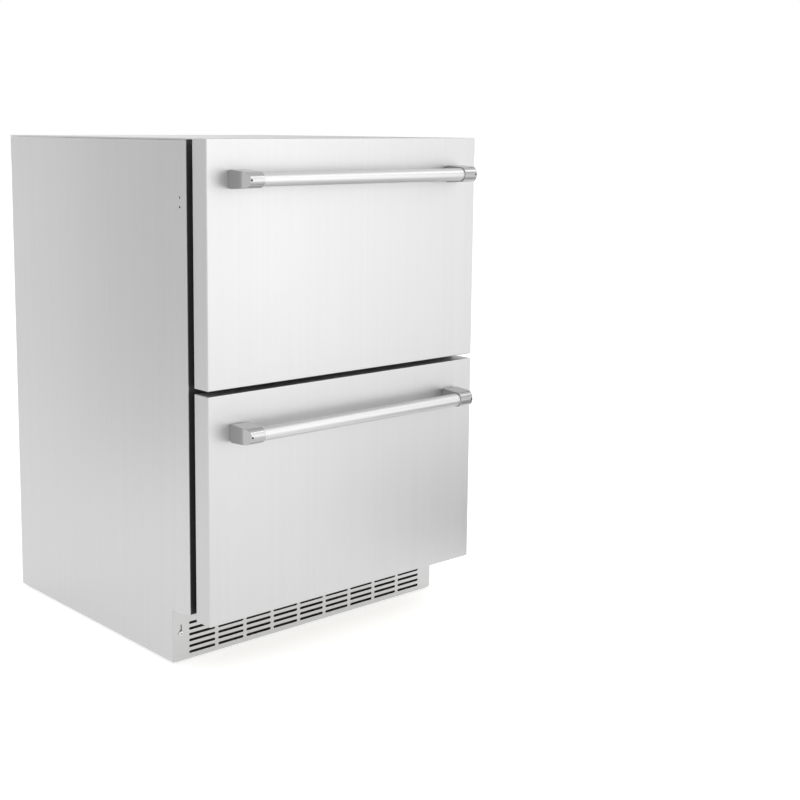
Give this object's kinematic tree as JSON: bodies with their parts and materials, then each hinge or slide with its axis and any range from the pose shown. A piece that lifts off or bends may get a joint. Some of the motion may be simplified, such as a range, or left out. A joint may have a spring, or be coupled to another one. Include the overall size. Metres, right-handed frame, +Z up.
{
  "type": "under counter fridge",
  "caption": "Stainless steel under-counter refrigerator with stacked pull-out drawers on telescopic slides, tubular bar handles and a slotted toe grille.",
  "frame": {"origin": "on the floor, under the middle of the whole appliance, handles included", "axes": "+X to the right as seen from the front, the drawers open towards -Y, +Z up"},
  "size_m": [0.597, 0.679, 0.874],
  "materials": {
    "cabinet_steel": "satin",
    "galvanised_steel": "satin",
    "frame_plastic": "matte",
    "foam": "matte",
    "liner_plastic": "satin",
    "grille_steel": "satin",
    "screw_steel": "polished",
    "slide_steel": "satin",
    "compressor_paint": "gloss",
    "coil_aluminium": "satin",
    "fan_plastic": "satin",
    "copper": "satin",
    "control_plastic": "satin",
    "display_glass": "gloss",
    "light_lens": "satin",
    "button_plastic": "satin",
    "foot_steel": "satin",
    "front_steel": "satin",
    "gasket_rubber": "matte",
    "bin_steel": "satin",
    "handle_steel": "satin",
    "bracket_metal": "satin"
  },
  "bodies": {
    "cabinet": {"left_panel": "cabinet_steel", "right_panel": "cabinet_steel", "top_panel": "cabinet_steel", "back_panel": "galvanised_steel", "machine_cover": "galvanised_steel", "base_tray": "galvanised_steel", "front_frame": "frame_plastic", "insulation": "foam", "upper_liner": "liner_plastic", "lower_liner": "liner_plastic", "toe_grille": "grille_steel", "cabinet_screws": "screw_steel", "upper_left_rail": "slide_steel", "upper_right_rail": "slide_steel", "lower_left_rail": "slide_steel", "lower_right_rail": "slide_steel", "compressor": "compressor_paint", "condenser": "coil_aluminium", "condenser_fan_shroud": "fan_plastic", "refrigerant_lines": "copper", "evaporator": "coil_aluminium", "evaporator_cover": "liner_plastic", "control_housing": "control_plastic", "display_lens": "display_glass", "power_inlet": "control_plastic", "interior_lights": "light_lens"},
    "upper_drawer": {"upper_front_skin": "front_steel", "upper_front_core": "foam", "upper_inner_panel": "liner_plastic", "upper_gasket": "gasket_rubber", "upper_bin": "bin_steel", "upper_left_runner": "slide_steel", "upper_right_runner": "slide_steel", "upper_handle_bar": "handle_steel", "upper_left_bracket": "bracket_metal", "upper_right_bracket": "bracket_metal"},
    "lower_drawer": {"lower_front_skin": "front_steel", "lower_front_core": "foam", "lower_inner_panel": "liner_plastic", "lower_gasket": "gasket_rubber", "lower_bin": "bin_steel", "lower_left_runner": "slide_steel", "lower_right_runner": "slide_steel", "lower_handle_bar": "handle_steel", "lower_left_bracket": "bracket_metal", "lower_right_bracket": "bracket_metal"},
    "upper_slides": {"upper_left_slide": "slide_steel", "upper_right_slide": "slide_steel"},
    "lower_slides": {"lower_left_slide": "slide_steel", "lower_right_slide": "slide_steel"},
    "condenser_fan": {"condenser_fan": "fan_plastic"},
    "evaporator_fan": {"evaporator_fan": "fan_plastic"},
    "power_button": {"power_button": "button_plastic"},
    "light_button": {"light_button": "button_plastic"},
    "warmer_button": {"warmer_button": "button_plastic"},
    "cooler_button": {"cooler_button": "button_plastic"},
    "front_left_foot": {"front_left_foot": "foot_steel"},
    "front_right_foot": {"front_right_foot": "foot_steel"},
    "rear_left_foot": {"rear_left_foot": "foot_steel"},
    "rear_right_foot": {"rear_right_foot": "foot_steel"}
  },
  "joints": [
    {"name": "upper_drawer_slide", "type": "slide", "parent": "cabinet", "child": "upper_drawer", "axis": [0, -1, 0], "range_m": [0, 0.4]},
    {"name": "upper_slide_travel", "type": "slide", "parent": "cabinet", "child": "upper_slides", "axis": [0, -1, 0], "range_m": [0, 0.2]},
    {"name": "lower_drawer_slide", "type": "slide", "parent": "cabinet", "child": "lower_drawer", "axis": [0, -1, 0], "range_m": [0, 0.4]},
    {"name": "lower_slide_travel", "type": "slide", "parent": "cabinet", "child": "lower_slides", "axis": [0, -1, 0], "range_m": [0, 0.2]},
    {"name": "condenser_fan_spin", "type": "hinge", "parent": "cabinet", "child": "condenser_fan", "pos_m": [-0.155, 0.19, 0.116], "axis": [0, 1, 0], "continuous": true},
    {"name": "evaporator_fan_spin", "type": "hinge", "parent": "cabinet", "child": "evaporator_fan", "pos_m": [0, 0.24, 0.72], "axis": [0, 1, 0], "continuous": true},
    {"name": "power_button_press", "type": "slide", "parent": "cabinet", "child": "power_button", "axis": [0, 1, 0], "range_m": [0, 0.001], "stiffness_N_per_m": 400, "springref_m": -0.0005},
    {"name": "light_button_press", "type": "slide", "parent": "cabinet", "child": "light_button", "axis": [0, 1, 0], "range_m": [0, 0.001], "stiffness_N_per_m": 400, "springref_m": -0.0005},
    {"name": "warmer_button_press", "type": "slide", "parent": "cabinet", "child": "warmer_button", "axis": [0, 1, 0], "range_m": [0, 0.001], "stiffness_N_per_m": 400, "springref_m": -0.0005},
    {"name": "cooler_button_press", "type": "slide", "parent": "cabinet", "child": "cooler_button", "axis": [0, 1, 0], "range_m": [0, 0.001], "stiffness_N_per_m": 400, "springref_m": -0.0005},
    {"name": "front_left_foot_screw", "type": "slide", "parent": "cabinet", "child": "front_left_foot", "axis": [0, 0, -1], "range_m": [0, 0.015]},
    {"name": "front_right_foot_screw", "type": "slide", "parent": "cabinet", "child": "front_right_foot", "axis": [0, 0, -1], "range_m": [0, 0.015]},
    {"name": "rear_left_foot_screw", "type": "slide", "parent": "cabinet", "child": "rear_left_foot", "axis": [0, 0, -1], "range_m": [0, 0.015]},
    {"name": "rear_right_foot_screw", "type": "slide", "parent": "cabinet", "child": "rear_right_foot", "axis": [0, 0, -1], "range_m": [0, 0.015]}
  ],
  "couplings": [
    {"joint": "upper_slide_travel", "follows": "upper_drawer_slide", "ratio": 0.5},
    {"joint": "lower_slide_travel", "follows": "lower_drawer_slide", "ratio": 0.5}
  ]
}
